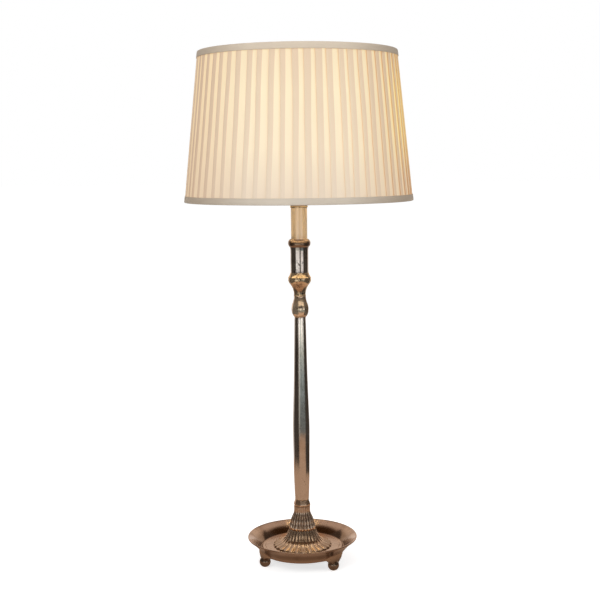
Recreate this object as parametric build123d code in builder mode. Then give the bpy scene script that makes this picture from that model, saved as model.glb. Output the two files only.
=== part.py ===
"""Candlestick lamp: a silver-plated octagonal candlestick on a dished tray, with a knife-pleated shade.

Millimetres, +Z up. The origin is on the surface that the lamp stands on, under its axis. The front is -Y.
"""

from build123d import *
from math import cos, degrees, radians, sin, sqrt
import os

os.makedirs("parts", exist_ok=True)

# ---------------------------------------------------------------- driving dimensions

# Feet: three balls on one circle, the angle of each counted from +X
ball_radius = 9.0
ball_height = 8.8  # of its centre: the ball has a small flat to stand on
foot_circle_radius = 64.0
foot_angles = {
    "ball_foot_front_right": -40.3,
    "ball_foot_back": 79.7,
    "ball_foot_front_left": -160.3,
}
bracket_half_width = 25.0
bracket_neck = 6.4
bracket_outside = [(68.2, ball_height), (70.0, 16.5), (70.7, 22.0), (70.9, 29.0)]  # up its outer side
bracket_plan = [(62.6, -25.5), (72.0, -9.0), (72.0, 9.0), (62.6, 25.5)]  # its outer edge seen from above

# Tray
tray_rim_radius = 88.1
tray_rim_height = 44.8
tray_bottom = 20.1
tray_bottom_radius = 65.8
tray_wall = 2.4
tray_recess_radius = 60.5
platform_height = 29.5
platform_radius = 64.6
platform_line_radius = 59.8

# Hollow rod that ties everything together
rod_radius = 5.0
rod_bore = 3.5
rod_bottom = 17.7
rod_top = 583.0
rod_hole = 5.2  # clearance hole in every piece on the rod
rod_thread_hole = 5.05
cord_bore = 2.9

# Fluted foot and bell: (height, radius over the crests, depth of the flutes), in smooth stretches
foot_flutes = 28
foot_first_crest = -88.3
foot_hem_height = 31.0
foot_stretches = [
    [(foot_hem_height, 47.1, 2.5), (32.0, 45.5, 2.4)],
    [(32.0, 45.5, 2.4), (34.0, 39.8, 2.0), (37.5, 33.0, 1.6), (43.5, 27.5, 1.2)],
    [(43.5, 27.5, 1.2), (50.0, 24.0, 1.0), (57.0, 21.3, 0.8)],
]
bell_flutes = 22
bell_first_crest = -88.9
bell_bottom = 57.0
bell_top = 94.5
bell_stretches = [
    [(bell_bottom, 20.2, 1.0), (58.6, 21.5, 1.6), (60.4, 21.6, 1.75), (64.0, 20.4, 1.4)],
    [
        (64.0, 20.4, 1.4),
        (70.0, 18.5, 1.15),
        (76.0, 16.6, 0.9),
        (82.0, 13.9, 0.7),
        (87.0, 13.0, 0.55),
        (91.8, 12.85, 0.45),
    ],
]
bell_ring_radius = 13.1
web = 2.5  # thickness of the inner web that centres each hollow casting on the rod
foot_hollow = [(42.9, platform_height), (32.0, 34.6), (23.5, 43.0), (18.8, bell_bottom - web)]
bell_hollow = [(16.0, bell_bottom), (14.6, 70.0), (11.4, 80.0), (10.4, bell_top - web)]

# Octagonal column: (height, half of its width as seen from the front)
facet_normal_angle = -80.0  # one facet faces 10 degrees to the right of the front
collar_sections = [
    (bell_top, 12.1),
    (95.6, 13.1),
    (97.3, 13.15),
    (100.5, 12.35),
    (104.5, 11.1),
]
stem_sections = [
    (104.5, 11.0),
    (125.0, 11.85),
    (150.0, 12.6),
    (185.0, 12.9),
    (218.0, 13.3),
    (255.0, 12.45),
    (300.0, 11.0),
    (350.0, 9.9),
    (401.5, 9.0),
]
stem_wall = 1.6
stem_end = 4.0  # solid length at each end
vase_sections = [
    (401.5, 9.2),
    (403.5, 10.9),
    (407.0, 12.6),
    (411.5, 13.45),
    (415.0, 13.6),
    (420.0, 12.95),
    (425.0, 11.2),
    (430.0, 9.9),
    (434.8, 9.35),
]
vase_ring_radius = 9.8
vase_top = 437.0

# Round knop and candle socket
knop_top = 472.0
knop_radius = 18.35
knop_ridge_height = 464.3
socket_radius = 14.2
socket_bore = 13.15
socket_web_top = 475.0
socket_bead_radius = 17.72
socket_top = 524.6

# Candle tube and its brass cap
tube_radius = 13.0
tube_bore = 11.9
tube_top = 574.0
cap_flange_radius = 14.3
cap_top = 576.4

# Bayonet lampholder
holder_radius = 14.4
holder_base_top = 594.0
holder_floor = 579.4
switch_height = 588.5
switch_bore = 2.2
switch_bar_radius = 1.9
switch_bar_from = -17.5
switch_bar_to = 21.5
sleeve_radius = 14.2
sleeve_bore = 12.6
bayonet_radius = 12.55
bayonet_bore = 11.35
holder_top = 628.0
insert_top = 606.0
contact_offset = 5.4
plunger_radius = 2.45
plunger_top = 607.9
slot_half_width = 1.3
slot_turn = 20.0  # how far the bulb turns before it lifts out

# Bulb
bulb_cap_radius = 11.0
bulb_cap_bottom = 608.5
bulb_cap_top = 634.0
pin_height = 620.0
pin_radius = 1.0
pin_reach = 13.0
bulb_radius = 30.0
bulb_middle = 686.0

# Shade
shade_bottom = 584.0
shade_top = 814.0
shade_bottom_radius = 177.8  # over the pleats
shade_top_radius = 153.6
pleat_count = 58
pleat_depth = 2.4  # at the bottom edge; it narrows with the cone
pleat_step = 0.1  # share of a pleat's width over which it drops
cover_wall = 0.6
liner_thickness = 0.6
skin_gap = 0.05  # between the layers, so that none cuts into the next
trim_thickness = 0.75
trim_height = 10.0  # of its outer leg
trim_return = 3.0  # of its inner leg
trim_fold = 1.2  # radius of its outer fold
ring_wire = 1.6
fitter_bore = 14.5
fitter_radius = 22.0
fitter_bottom = 602.4
fitter_thickness = 1.2
spoke_wire = 1.5
spoke_angles = [45.0, 135.0, 225.0, 315.0]

# ---------------------------------------------------------------- shapes that several pieces share


def at_angle(radius, angle):
    """Point on a circle round the axis, angle in degrees from +X."""
    return (radius * cos(radians(angle)), radius * sin(radians(angle)))


def wavy_section(radius, depth, count, first_crest):
    """Fluted outline: count rounded crests of the given radius with hollow flutes between them."""
    pitch = 360 / count
    middle = radius - depth / 2
    with BuildSketch() as section:
        with BuildLine():
            for index in range(count):
                crest = first_crest + index * pitch
                rise = at_angle(middle, crest - pitch / 4)
                fall = at_angle(middle, crest + pitch / 4)
                next_rise = at_angle(middle, crest + 3 * pitch / 4)
                ThreePointArc(rise, at_angle(radius, crest), fall)
                ThreePointArc(fall, at_angle(radius - depth, crest + pitch / 2), next_rise)
        make_face()
    return section.sketch


# An octagon's width seen 10 degrees off a facet's normal, over the distance between its facets
octagon_view = cos(radians(22.5 - 10.0)) / cos(radians(22.5))


def facet_outline(sections):
    """Side view of an octagonal piece, square to one pair of its facets."""
    bottom = sections[0][0]
    top = sections[-1][0]
    points = [(half_width / octagon_view, height) for height, half_width in sections]
    with BuildSketch() as outline:
        with BuildLine():
            Spline(*points)
            Polyline(points[-1], (0, top), (0, bottom), points[0])
        make_face()
        mirror(about=Plane.YZ)
    return outline.sketch


# An octagonal piece is where four such side views cross, one for each pair of facets
facet_reach = 20.0  # past the widest octagon
facet_planes = [
    Plane.XZ.rotated((0, 0, facet_normal_angle + turn)).offset(-facet_reach) for turn in (0, 45, 90, 135)
]


def shade_radius(height):
    """Radius over the pleats at a height."""
    share = (height - shade_bottom) / (shade_top - shade_bottom)
    return shade_bottom_radius + share * (shade_top_radius - shade_bottom_radius)


# ---------------------------------------------------------------- tray

# The wall flares: it rises steeply from the bottom edge and leans out toward the lip
wall_start = (tray_bottom_radius, tray_bottom)
wall_middle = (74.0, 30.5)
lip_outside = (tray_rim_radius - 0.4, tray_rim_height - 2.0)

with BuildPart() as tray:
    with BuildSketch(Plane.XZ):
        with BuildLine():
            Polyline(
                (rod_hole, platform_height - tray_wall),
                (tray_recess_radius, platform_height - tray_wall),
                (tray_recess_radius, tray_bottom),
                wall_start,
            )
            ThreePointArc(wall_start, wall_middle, lip_outside)
            ThreePointArc(
                lip_outside,
                (tray_rim_radius - 1.2, tray_rim_height),
                (tray_rim_radius - 2.6, tray_rim_height - 0.9),
            )
            ThreePointArc(
                (tray_rim_radius - 2.6, tray_rim_height - 0.9), (75.3, 35.7), (68.0, 27.2)
            )
            ThreePointArc((68.0, 27.2), (66.4, 26.0), (platform_radius, 27.2))
            Line((platform_radius, 27.2), (platform_radius, platform_height - 0.9))
            ThreePointArc(
                (platform_radius, platform_height - 0.9),
                (platform_radius - 0.3, platform_height - 0.3),
                (platform_radius - 0.9, platform_height),
            )
            Polyline(
                (platform_radius - 0.9, platform_height),
                (platform_line_radius + 0.5, platform_height),
                (platform_line_radius, platform_height - 0.4),
                (platform_line_radius - 0.5, platform_height),
                (rod_hole, platform_height),
                (rod_hole, platform_height - tray_wall),
            )
        make_face()
    revolve(axis=Axis.Z)
tray.part.label = "tray"
export_step(tray.part, "parts/tray.step")

# ---------------------------------------------------------------- ball feet

# Everything inside the tray's outer wall, to seat the brackets against
with BuildPart() as tray_envelope:
    with BuildSketch(Plane.XZ):
        with BuildLine():
            ThreePointArc(wall_start, wall_middle, lip_outside)
            Polyline(lip_outside, (0, lip_outside[1]), (0, tray_bottom), wall_start)
        make_face()
    revolve(axis=Axis.Z)

bracket_inside = tray_recess_radius + 0.5
bracket_top = bracket_outside[-1][1]
flank_top = tray_bottom + 0.6
with BuildPart() as ball_foot:
    # Bracket: a plate with hollow flanks under the tray's edge, drawn in toward the ball
    with BuildSketch(Plane.YZ.offset(bracket_inside - 5)):
        with BuildLine():
            ThreePointArc((-bracket_half_width, flank_top), (-11.5, 16.6), (-bracket_neck, ball_height))
            Line((-bracket_neck, ball_height), (bracket_neck, ball_height))
            ThreePointArc((bracket_neck, ball_height), (11.5, 16.6), (bracket_half_width, flank_top))
            Polyline(
                (bracket_half_width, flank_top),
                (bracket_half_width, bracket_top),
                (-bracket_half_width, bracket_top),
                (-bracket_half_width, flank_top),
            )
        make_face()
    extrude(amount=25)
    with BuildSketch(Plane.XZ):
        with BuildLine():
            Polyline(
                *bracket_outside,
                (bracket_inside, bracket_top),
                (bracket_inside, ball_height),
                close=True,
            )
        make_face()
    revolve(axis=Axis.Z, mode=Mode.INTERSECT)
    with BuildSketch(Plane.XY.offset(ball_height)):
        Polygon((50.0, -25.5), *bracket_plan, (50.0, 25.5), align=None)
    extrude(amount=bracket_top - ball_height, mode=Mode.INTERSECT)
    with Locations((foot_circle_radius, 0, ball_height)):
        Sphere(ball_radius)
    add(tray_envelope.part, mode=Mode.SUBTRACT)
    # Small flat under the ball
    with BuildSketch(Plane.XY):
        with Locations((foot_circle_radius, 0)):
            Rectangle(3 * ball_radius, 3 * ball_radius)
    extrude(amount=-ball_radius, mode=Mode.SUBTRACT)
for foot_name, foot_angle in foot_angles.items():
    foot = ball_foot.part.rotate(Axis.Z, foot_angle)
    foot.label = foot_name
    export_step(foot, f"parts/{foot_name}.step")

# ---------------------------------------------------------------- weight and clamping under the tray

weight_top = platform_height - tray_wall
weight_bottom = 21.6
washer_top = 24.1
washer_bottom = 22.5
with BuildPart() as base_weight:
    with BuildSketch(Plane.XY.offset(weight_bottom)):
        Circle(tray_recess_radius - 0.5)
        Circle(rod_hole, mode=Mode.SUBTRACT)
    extrude(amount=weight_top - weight_bottom)
    with BuildSketch(Plane.XY.offset(weight_bottom)):
        Circle(15.0)
    extrude(amount=washer_top - weight_bottom, mode=Mode.SUBTRACT)
    chamfer(base_weight.faces().sort_by(Axis.Z)[0].outer_wire().edges(), 0.8)
base_weight.part.label = "base_weight"
export_step(base_weight.part, "parts/base_weight.step")

with BuildPart() as base_washer:
    with BuildSketch(Plane.XY.offset(washer_bottom)):
        Circle(12.0)
        Circle(rod_hole, mode=Mode.SUBTRACT)
    extrude(amount=washer_top - washer_bottom)
base_washer.part.label = "base_washer"
export_step(base_washer.part, "parts/base_washer.step")

nut_half_width = 7.5
nut_thickness = 3.8
with BuildPart() as base_nut:
    with BuildSketch(Plane.XY.offset(washer_bottom - nut_thickness)):
        RegularPolygon(nut_half_width, 6, major_radius=False)
        Circle(rod_thread_hole, mode=Mode.SUBTRACT)
    extrude(amount=nut_thickness)
base_nut.part.label = "base_nut"
export_step(base_nut.part, "parts/base_nut.step")

with BuildPart() as threaded_rod:
    with BuildSketch(Plane.XY.offset(rod_bottom)):
        Circle(rod_radius)
        Circle(rod_bore, mode=Mode.SUBTRACT)
    extrude(amount=rod_top - rod_bottom)
threaded_rod.part.label = "threaded_rod"
export_step(threaded_rod.part, "parts/threaded_rod.step")

# Flanged bush where the cord goes in
bush_flange = 1.4
bush_length = 9.6
with BuildPart() as rod_bush:
    with BuildSketch(Plane.XY.offset(rod_bottom - bush_flange)):
        Circle(rod_radius + 0.8)
    extrude(amount=bush_flange)
    with BuildSketch(Plane.XY.offset(rod_bottom)):
        Circle(rod_bore - 0.02)
    extrude(amount=bush_length - bush_flange)
    with BuildSketch(Plane.XY.offset(rod_bottom - bush_flange)):
        Circle(cord_bore)
    extrude(amount=bush_length, mode=Mode.SUBTRACT)
rod_bush.part.label = "rod_bush"
export_step(rod_bush.part, "parts/rod_bush.step")

# ---------------------------------------------------------------- fluted foot and bell

with BuildPart() as fluted_foot:
    # Hem: the flutes end in a short upright edge
    hem_radius, hem_depth = foot_stretches[0][0][1:]
    with BuildSketch(Plane.XY.offset(platform_height)):
        add(wavy_section(hem_radius, hem_depth, foot_flutes, foot_first_crest))
    extrude(amount=foot_hem_height - platform_height)
    for stretch in foot_stretches:
        for height, radius, depth in stretch:
            with BuildSketch(Plane.XY.offset(height)):
                add(wavy_section(radius, depth, foot_flutes, foot_first_crest))
        loft()
    # Hollow inside, under a web that sits on the rod
    foot_web = bell_bottom - web
    with BuildSketch(Plane.XZ):
        with BuildLine():
            Spline(*foot_hollow)
            Polyline(foot_hollow[-1], (0, foot_web), (0, platform_height), foot_hollow[0])
        make_face()
    revolve(axis=Axis.Z, mode=Mode.SUBTRACT)
    with BuildSketch(Plane.XY.offset(platform_height)):
        Circle(rod_hole)
    extrude(amount=bell_bottom - platform_height, mode=Mode.SUBTRACT)
fluted_foot.part.label = "fluted_foot"
export_step(fluted_foot.part, "parts/fluted_foot.step")

with BuildPart() as fluted_bell:
    for stretch in bell_stretches:
        for height, radius, depth in stretch:
            with BuildSketch(Plane.XY.offset(height)):
                add(wavy_section(radius, depth, bell_flutes, bell_first_crest))
        loft()
    # Fine ring over the flutes
    flutes_top = bell_stretches[-1][-1][0]
    with BuildSketch(Plane.XY.offset(flutes_top)):
        Circle(bell_ring_radius)
    extrude(amount=bell_top - flutes_top)
    fillet(fluted_bell.edges().filter_by(GeomType.CIRCLE).group_by(Axis.Z)[-1], 0.9)
    bell_web = bell_top - web
    with BuildSketch(Plane.XZ):
        with BuildLine():
            Spline(*bell_hollow)
            Polyline(bell_hollow[-1], (0, bell_web), (0, bell_bottom), bell_hollow[0])
        make_face()
    revolve(axis=Axis.Z, mode=Mode.SUBTRACT)
    with BuildSketch(Plane.XY.offset(bell_bottom)):
        Circle(rod_hole)
    extrude(amount=bell_top - bell_bottom, mode=Mode.SUBTRACT)
fluted_bell.part.label = "fluted_bell"
export_step(fluted_bell.part, "parts/fluted_bell.step")

# ---------------------------------------------------------------- octagonal collar, stem and vase

with BuildPart() as stem_collar:
    for number, facet_plane in enumerate(facet_planes):
        with BuildSketch(facet_plane):
            add(facet_outline(collar_sections))
        extrude(amount=2 * facet_reach, mode=Mode.INTERSECT if number else Mode.ADD)
    with BuildSketch(Plane.XY.offset(bell_top)):
        Circle(rod_hole)
    extrude(amount=stem_sections[0][0] - bell_top, mode=Mode.SUBTRACT)
stem_collar.part.label = "stem_collar"
export_step(stem_collar.part, "parts/stem_collar.step")

stem_bottom = stem_sections[0][0]
stem_top = stem_sections[-1][0]
with BuildPart() as stem:
    for number, facet_plane in enumerate(facet_planes):
        with BuildSketch(facet_plane):
            add(facet_outline(stem_sections))
        extrude(amount=2 * facet_reach, mode=Mode.INTERSECT if number else Mode.ADD)
    # Round hollow between two solid ends that sit on the rod
    hollow_bottom = stem_bottom + stem_end
    hollow_top = stem_top - stem_end
    hollow_line = [(half_width / octagon_view - stem_wall, height) for height, half_width in stem_sections]
    hollow_line[0] = (hollow_line[0][0], hollow_bottom)
    hollow_line[-1] = (hollow_line[-1][0], hollow_top)
    with BuildSketch(Plane.XZ):
        with BuildLine():
            Spline(*hollow_line)
            Polyline(hollow_line[-1], (0, hollow_top), (0, hollow_bottom), hollow_line[0])
        make_face()
    revolve(axis=Axis.Z, mode=Mode.SUBTRACT)
    with BuildSketch(Plane.XY.offset(stem_bottom)):
        Circle(rod_hole)
    extrude(amount=stem_top - stem_bottom, mode=Mode.SUBTRACT)
stem.part.label = "stem"
export_step(stem.part, "parts/stem.step")

with BuildPart() as vase_knop:
    for number, facet_plane in enumerate(facet_planes):
        with BuildSketch(facet_plane):
            add(facet_outline(vase_sections))
        extrude(amount=2 * facet_reach, mode=Mode.INTERSECT if number else Mode.ADD)
    # Fine round ring at the waist
    ring_bottom = vase_sections[-1][0]
    with BuildSketch(Plane.XY.offset(ring_bottom)):
        Circle(vase_ring_radius)
    extrude(amount=vase_top - ring_bottom)
    fillet(vase_knop.edges().filter_by(GeomType.CIRCLE).sort_by(Axis.Z)[-1:], 0.8)
    with BuildSketch(Plane.XY.offset(stem_top)):
        Circle(rod_hole)
    extrude(amount=vase_top - stem_top, mode=Mode.SUBTRACT)
vase_knop.part.label = "vase_knop"
export_step(vase_knop.part, "parts/vase_knop.step")

# ---------------------------------------------------------------- round knop, candle socket

with BuildPart() as socket_knop:
    with BuildSketch(Plane.XZ):
        with BuildLine():
            # Waist that flares into a small step, then the belly up to a sharp ridge
            Line((rod_hole, vase_top), (9.3, vase_top))
            Spline((9.3, vase_top), (9.6, 441.0), (11.0, 446.2), (14.4, 452.6))
            Line((14.4, 452.6), (14.9, 453.4))
            ThreePointArc((14.9, 453.4), (17.7, 457.9), (knop_radius, 462.2))
            Line((knop_radius, 462.2), (knop_radius - 0.15, knop_ridge_height))
            # Hollow top that rises to the socket
            ThreePointArc(
                (knop_radius - 0.15, knop_ridge_height), (15.7, 468.5), (socket_radius + 0.25, knop_top)
            )
            Polyline((socket_radius + 0.25, knop_top), (rod_hole, knop_top), (rod_hole, vase_top))
        make_face()
    revolve(axis=Axis.Z)
socket_knop.part.label = "socket_knop"
export_step(socket_knop.part, "parts/socket_knop.step")

with BuildPart() as candle_socket:
    with BuildSketch(Plane.XZ):
        with BuildLine():
            # Cylinder with a slight flare at each end
            Line((rod_hole, knop_top), (socket_radius + 0.2, knop_top))
            ThreePointArc(
                (socket_radius + 0.2, knop_top), (socket_radius + 0.05, 475.0), (socket_radius, 480.0)
            )
            Line((socket_radius, 480.0), (socket_radius, 504.0))
            ThreePointArc((socket_radius, 504.0), (socket_radius + 0.15, 508.5), (15.0, 512.4))
            # Bead round the mouth
            ThreePointArc((15.0, 512.4), (socket_bead_radius, 518.6), (14.9, socket_top - 0.4))
            Polyline(
                (14.9, socket_top - 0.4),
                (socket_radius, socket_top),
                (socket_bore, socket_top),
                (socket_bore, socket_web_top),
                (rod_hole, socket_web_top),
                (rod_hole, knop_top),
            )
        make_face()
    revolve(axis=Axis.Z)
candle_socket.part.label = "candle_socket"
export_step(candle_socket.part, "parts/candle_socket.step")

socket_washer_thickness = 1.4
with BuildPart() as socket_washer:
    with BuildSketch(Plane.XY.offset(socket_web_top)):
        Circle(tube_bore - 0.6)
        Circle(rod_hole, mode=Mode.SUBTRACT)
    extrude(amount=socket_washer_thickness)
socket_washer.part.label = "socket_washer"
export_step(socket_washer.part, "parts/socket_washer.step")

with BuildPart() as socket_nut:
    with BuildSketch(Plane.XY.offset(socket_web_top + socket_washer_thickness)):
        RegularPolygon(nut_half_width, 6, major_radius=False)
        Circle(rod_thread_hole, mode=Mode.SUBTRACT)
    extrude(amount=nut_thickness)
socket_nut.part.label = "socket_nut"
export_step(socket_nut.part, "parts/socket_nut.step")

# ---------------------------------------------------------------- candle tube and cap

with BuildPart() as candle_tube:
    with BuildSketch(Plane.XY.offset(socket_web_top)):
        Circle(tube_radius)
        Circle(tube_bore, mode=Mode.SUBTRACT)
    extrude(amount=tube_top - socket_web_top)
candle_tube.part.label = "candle_tube"
export_step(candle_tube.part, "parts/candle_tube.step")

cap_skirt = 6.0
with BuildPart() as tube_cap:
    with BuildSketch(Plane.XY.offset(tube_top)):
        Circle(cap_flange_radius)
    extrude(amount=cap_top - tube_top)
    fillet(tube_cap.edges().filter_by(GeomType.CIRCLE), 0.9)
    with BuildSketch(Plane.XY.offset(tube_top - cap_skirt)):
        Circle(tube_bore - 0.05)
    extrude(amount=cap_skirt + 0.5)
    with BuildSketch(Plane.XY.offset(tube_top - cap_skirt)):
        Circle(tube_bore - 1.2)
    extrude(amount=cap_skirt - 1.0, mode=Mode.SUBTRACT)
    with BuildSketch(Plane.XY.offset(tube_top - cap_skirt)):
        Circle(rod_hole)
    extrude(amount=2 * cap_skirt, mode=Mode.SUBTRACT)
tube_cap.part.label = "tube_cap"
export_step(tube_cap.part, "parts/tube_cap.step")

# ---------------------------------------------------------------- lampholder

# Metal cup on the rod, with a hole each side for the push bar
holder_cup_bore = 13.2
with BuildPart() as holder_base:
    with BuildSketch(Plane.XY.offset(cap_top)):
        Circle(holder_radius)
    extrude(amount=holder_base_top - cap_top)
    fillet(holder_base.edges().filter_by(GeomType.CIRCLE).sort_by(Axis.Z)[:1], 2.4)
    with BuildSketch(Plane.XY.offset(holder_floor)):
        Circle(holder_cup_bore)
    extrude(amount=holder_base_top - holder_floor, mode=Mode.SUBTRACT)
    with BuildSketch(Plane.XY.offset(cap_top)):
        Circle(rod_thread_hole)
    extrude(amount=holder_floor - cap_top, mode=Mode.SUBTRACT)
    with BuildSketch(Plane.YZ.offset(-holder_radius)):
        with Locations((0, switch_height)):
            Circle(switch_bore)
    extrude(amount=2 * holder_radius, mode=Mode.SUBTRACT)
holder_base.part.label = "holder_base"
export_step(holder_base.part, "parts/holder_base.step")

block_top = 592.6
terminal_offset = 9.0
terminal_head = 2.2
terminal_shank = 1.4
with BuildPart() as switch_block:
    with BuildSketch(Plane.XY.offset(holder_floor)):
        Circle(holder_cup_bore - 0.1)
    extrude(amount=block_top - holder_floor)
    # Room for the rod's end
    with BuildSketch(Plane.XY.offset(holder_floor)):
        Circle(rod_radius + 0.8)
    extrude(amount=4.6, mode=Mode.SUBTRACT)
    with BuildSketch(Plane.YZ.offset(-holder_radius)):
        with Locations((0, switch_height)):
            Circle(switch_bore)
    extrude(amount=2 * holder_radius, mode=Mode.SUBTRACT)
    with Locations(
        (0, terminal_offset, block_top),
        (0, -terminal_offset, block_top),
    ):
        CounterBoreHole(terminal_shank + 0.05, terminal_head + 0.1, 1.6, depth=7.0)
switch_block.part.label = "switch_block"
export_step(switch_block.part, "parts/switch_block.step")

with BuildPart() as terminal_screws:
    with BuildSketch(Plane.XY.offset(block_top - 6.5)):
        with Locations((0, terminal_offset), (0, -terminal_offset)):
            Circle(terminal_shank)
    extrude(amount=5.0)
    with BuildSketch(Plane.XY.offset(block_top - 1.6)):
        with Locations((0, terminal_offset), (0, -terminal_offset)):
            Circle(terminal_head)
    extrude(amount=1.4)
    # Slots for the screwdriver
    with BuildSketch(Plane.XY.offset(block_top - 0.8)):
        with Locations((0, terminal_offset), (0, -terminal_offset)):
            Rectangle(2.5 * terminal_head, 0.7)
    extrude(amount=1.0, mode=Mode.SUBTRACT)
terminal_screws.part.label = "terminal_screws"
export_step(terminal_screws.part, "parts/terminal_screws.step")

with BuildPart() as switch_bar:
    with BuildSketch(Plane.YZ.offset(switch_bar_from)):
        with Locations((0, switch_height)):
            Circle(switch_bar_radius)
    extrude(amount=switch_bar_to - switch_bar_from)
    fillet(switch_bar.edges().filter_by(GeomType.CIRCLE), 1.0)
switch_bar.part.label = "switch_bar"
export_step(switch_bar.part, "parts/switch_bar.step")

# Insulating insert with a bore for each sprung contact
plunger_bore = plunger_radius + 0.15
spring_bottom = 596.0
plunger_bottom = 601.5
with BuildPart() as holder_insert:
    with BuildSketch(Plane.XY.offset(block_top)):
        Circle(sleeve_bore - 0.2)
    extrude(amount=insert_top - block_top)
    with BuildSketch(Plane.XY.offset(spring_bottom)):
        with Locations((0, contact_offset), (0, -contact_offset)):
            Circle(plunger_bore)
    extrude(amount=insert_top - spring_bottom, mode=Mode.SUBTRACT)
holder_insert.part.label = "holder_insert"
export_step(holder_insert.part, "parts/holder_insert.step")

for side_name, side in (("front", -1), ("back", 1)):
    with BuildPart() as plunger_spring:
        with BuildSketch(Plane.XY.offset(spring_bottom)):
            with Locations((0, side * contact_offset)):
                Circle(plunger_radius - 0.2)
                Circle(plunger_radius - 0.9, mode=Mode.SUBTRACT)
        extrude(amount=plunger_bottom - spring_bottom)
    plunger_spring.part.label = f"plunger_spring_{side_name}"
    export_step(plunger_spring.part, f"parts/plunger_spring_{side_name}.step")

    with BuildPart() as plunger:
        with BuildSketch(Plane.XY.offset(plunger_bottom)):
            with Locations((0, side * contact_offset)):
                Circle(plunger_radius)
        extrude(amount=plunger_top - plunger_bottom)
        fillet(plunger.edges().filter_by(GeomType.CIRCLE).sort_by(Axis.Z)[-1:], 0.8)
    plunger.part.label = f"plunger_{side_name}"
    export_step(plunger.part, f"parts/plunger_{side_name}.step")

# Shell: a wide sleeve for the shade rings, then the bayonet sleeve with its two slots
sleeve_top = 609.5
with BuildPart() as holder_shell:
    with BuildSketch(Plane.XY.offset(holder_base_top)):
        Circle(sleeve_radius)
    extrude(amount=sleeve_top - holder_base_top)
    with BuildSketch(Plane.XY.offset(sleeve_top)):
        Circle(bayonet_radius)
    extrude(amount=holder_top - sleeve_top)
    with BuildSketch(Plane.XY.offset(holder_base_top)):
        Circle(sleeve_bore)
    extrude(amount=insert_top - holder_base_top, mode=Mode.SUBTRACT)
    with BuildSketch(Plane.XY.offset(insert_top)):
        Circle(bayonet_bore)
    extrude(amount=holder_top - insert_top, mode=Mode.SUBTRACT)
    slot_edge = degrees(slot_half_width / bayonet_radius)
    for slot_start in (0, 180):
        # The leg along which the pin turns
        with BuildSketch(Plane.XZ.rotated((0, 0, slot_start - slot_edge))):
            with Locations((bayonet_radius, pin_height)):
                Rectangle(4.0, 2 * slot_half_width)
        revolve(axis=Axis.Z, revolution_arc=slot_turn + 2 * slot_edge, mode=Mode.SUBTRACT)
        # The way in from the top
        with BuildSketch(Plane.YZ.rotated((0, 0, slot_start + slot_turn)).offset(bayonet_radius - 2)):
            with Locations((0, (holder_top + pin_height) / 2 + 1)):
                Rectangle(2 * slot_half_width, holder_top - pin_height + 2)
        extrude(amount=4.0, mode=Mode.SUBTRACT)
holder_shell.part.label = "holder_shell"
export_step(holder_shell.part, "parts/holder_shell.step")

# Shade rings on the wide sleeve, with notches to turn them by
fitter_gap = 0.3
lower_ring_radius = 17.5
upper_ring_radius = 17.8
grip_notches = 12
with BuildPart() as lower_shade_ring:
    with BuildSketch(Plane.XY.offset(fitter_bottom - fitter_gap - 4.0)):
        Circle(lower_ring_radius)
        Circle(sleeve_radius + 0.02, mode=Mode.SUBTRACT)
    extrude(amount=4.0)
    chamfer(lower_shade_ring.faces().sort_by(Axis.Z)[0].outer_wire().edges(), 0.8)
lower_shade_ring.part.label = "lower_shade_ring"
export_step(lower_shade_ring.part, "parts/lower_shade_ring.step")

upper_ring_bottom = fitter_bottom + fitter_thickness + fitter_gap
with BuildPart() as upper_shade_ring:
    with BuildSketch(Plane.XY.offset(upper_ring_bottom)):
        Circle(upper_ring_radius)
        Circle(sleeve_radius + 0.02, mode=Mode.SUBTRACT)
        with PolarLocations(upper_ring_radius + 0.5, grip_notches):
            Circle(1.3, mode=Mode.SUBTRACT)
    extrude(amount=5.0)
upper_shade_ring.part.label = "upper_shade_ring"
export_step(upper_shade_ring.part, "parts/upper_shade_ring.step")

# ---------------------------------------------------------------- bulb

cap_shell = 0.4
with BuildPart() as bulb_cap:
    with BuildSketch(Plane.XY.offset(bulb_cap_bottom)):
        Circle(bulb_cap_radius)
        Circle(bulb_cap_radius - cap_shell, mode=Mode.SUBTRACT)
    extrude(amount=bulb_cap_top - bulb_cap_bottom)
    with BuildSketch(Plane.YZ.offset(-pin_reach)):
        with Locations((0, pin_height)):
            Circle(pin_radius + 0.02)
    extrude(amount=2 * pin_reach, mode=Mode.SUBTRACT)
bulb_cap.part.label = "bulb_cap"
export_step(bulb_cap.part, "parts/bulb_cap.step")

with BuildPart() as bulb_pins:
    pin_inside = bulb_cap_radius - 1.0
    for pin_start in (pin_inside, -pin_reach):
        with BuildSketch(Plane.YZ.offset(pin_start)):
            with Locations((0, pin_height)):
                Circle(pin_radius)
        extrude(amount=pin_reach - pin_inside)
bulb_pins.part.label = "bulb_pins"
export_step(bulb_pins.part, "parts/bulb_pins.step")

insulator_thickness = 3.5
with BuildPart() as bulb_insulator:
    with BuildSketch(Plane.XY.offset(bulb_cap_bottom)):
        Circle(bulb_cap_radius - cap_shell - 0.02)
    extrude(amount=insulator_thickness)
bulb_insulator.part.label = "bulb_insulator"
export_step(bulb_insulator.part, "parts/bulb_insulator.step")

pad_thickness = 0.5
with BuildPart() as bulb_contacts:
    with BuildSketch(Plane.XY.offset(bulb_cap_bottom - pad_thickness)):
        with Locations((0, contact_offset), (0, -contact_offset)):
            Circle(2.8)
    extrude(amount=pad_thickness)
bulb_contacts.part.label = "bulb_contacts"
export_step(bulb_contacts.part, "parts/bulb_contacts.step")

# Envelope: a straight neck in the cap, a hollow shoulder and a round top
glass_thickness = 0.8
neck_radius = 10.4
neck_bottom = 626.0
shoulder_bottom = 636.0


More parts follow.
